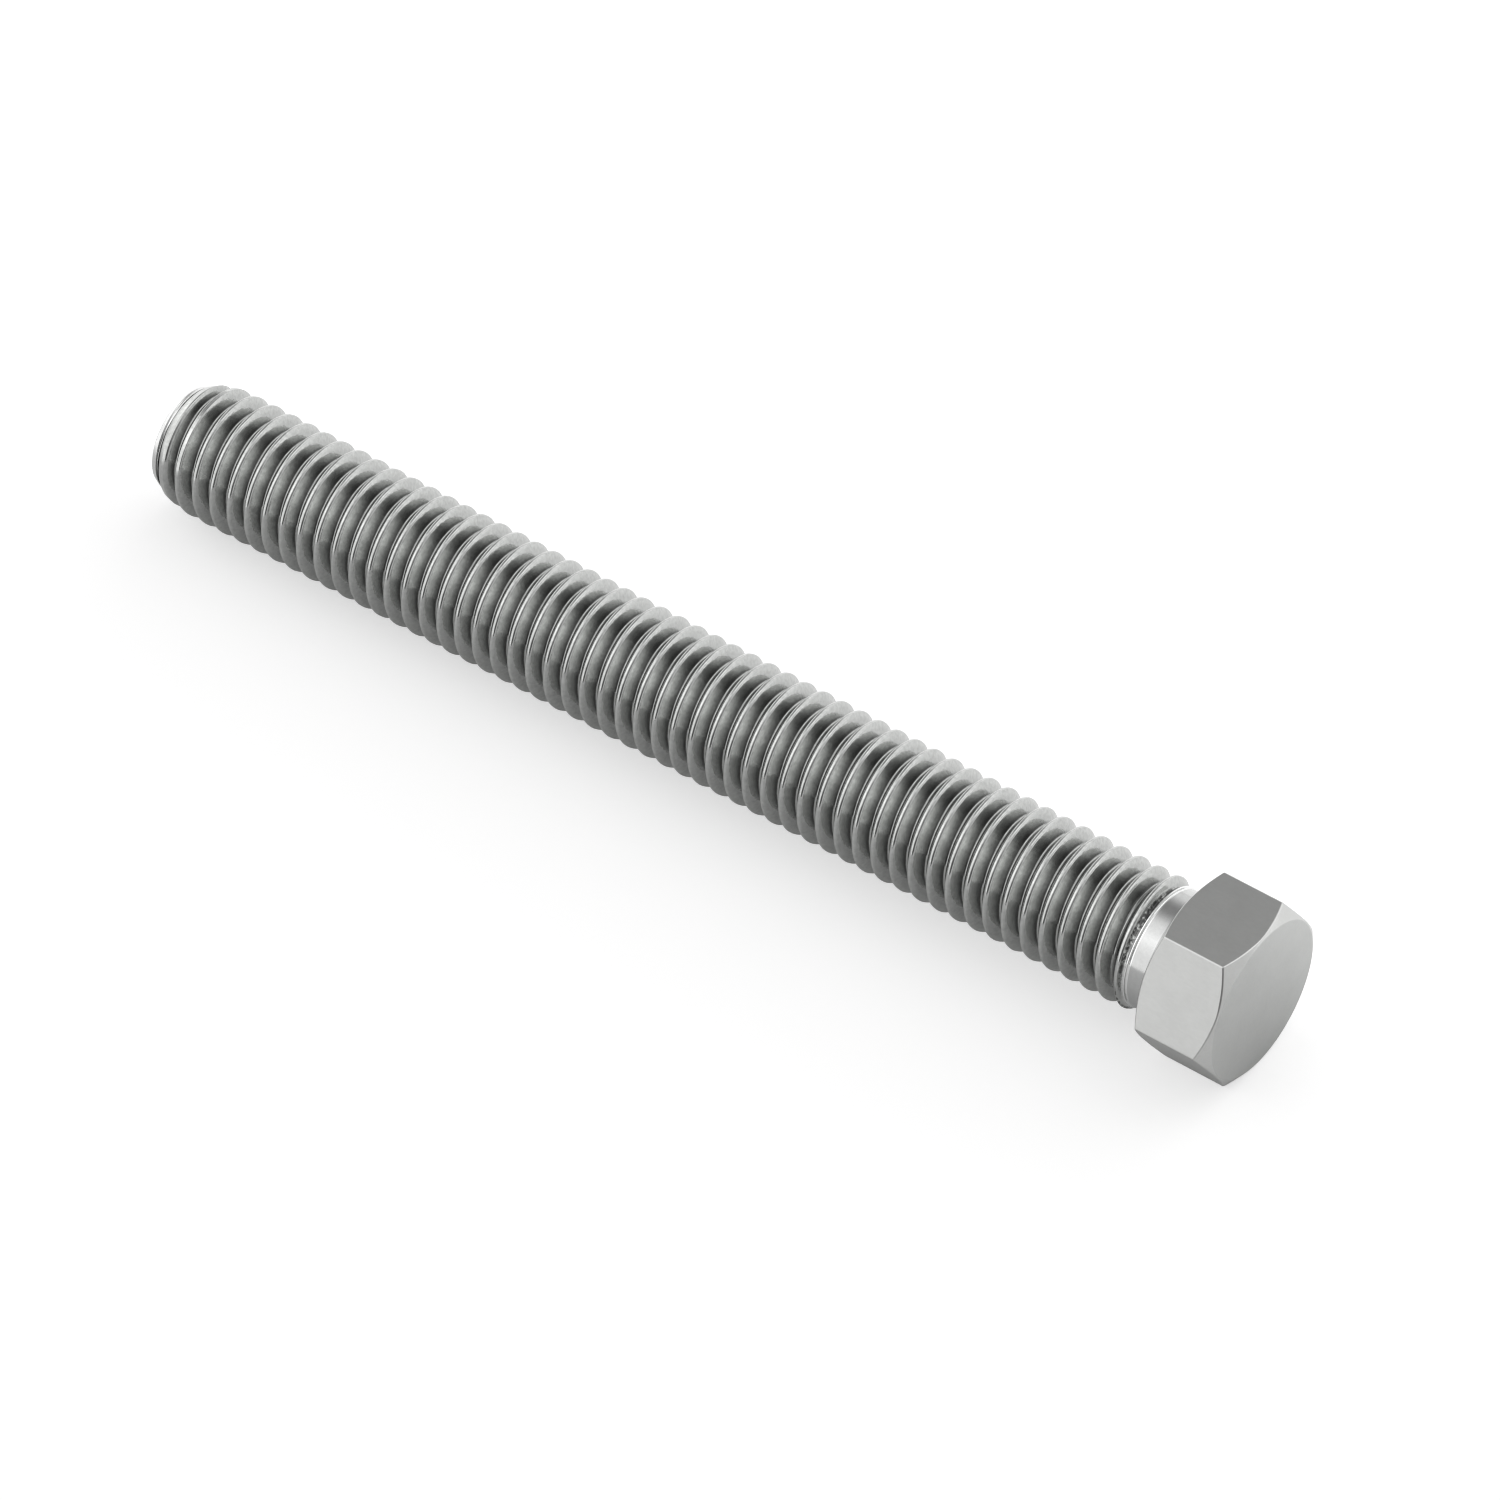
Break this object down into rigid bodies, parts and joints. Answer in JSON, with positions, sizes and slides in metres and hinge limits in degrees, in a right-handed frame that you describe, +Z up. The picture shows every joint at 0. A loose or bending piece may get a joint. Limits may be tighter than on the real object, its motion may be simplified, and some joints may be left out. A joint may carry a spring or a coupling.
{
  "type": "hex bolt",
  "caption": "Slim hexagon-head bolt with a fully threaded shank, both ends of the hexagon chamfered, short plain neck and chamfered flat tip.",
  "frame": {"origin": "centre of the bearing face under the head, on the thread axis", "axes": "+X along the axis from the tip to the head, +Z up with one flat of the hexagon facing down, corners at +Y and -Y"},
  "size_m": [0.0745, 0.0114, 0.0098],
  "materials": {
    "bright_steel": "bright zinc-free rolled steel, satin on the head faces and polished on the rolled thread"
  },
  "bodies": {
    "root": {"hex_bolt": "bright_steel"}
  },
  "joints": []
}
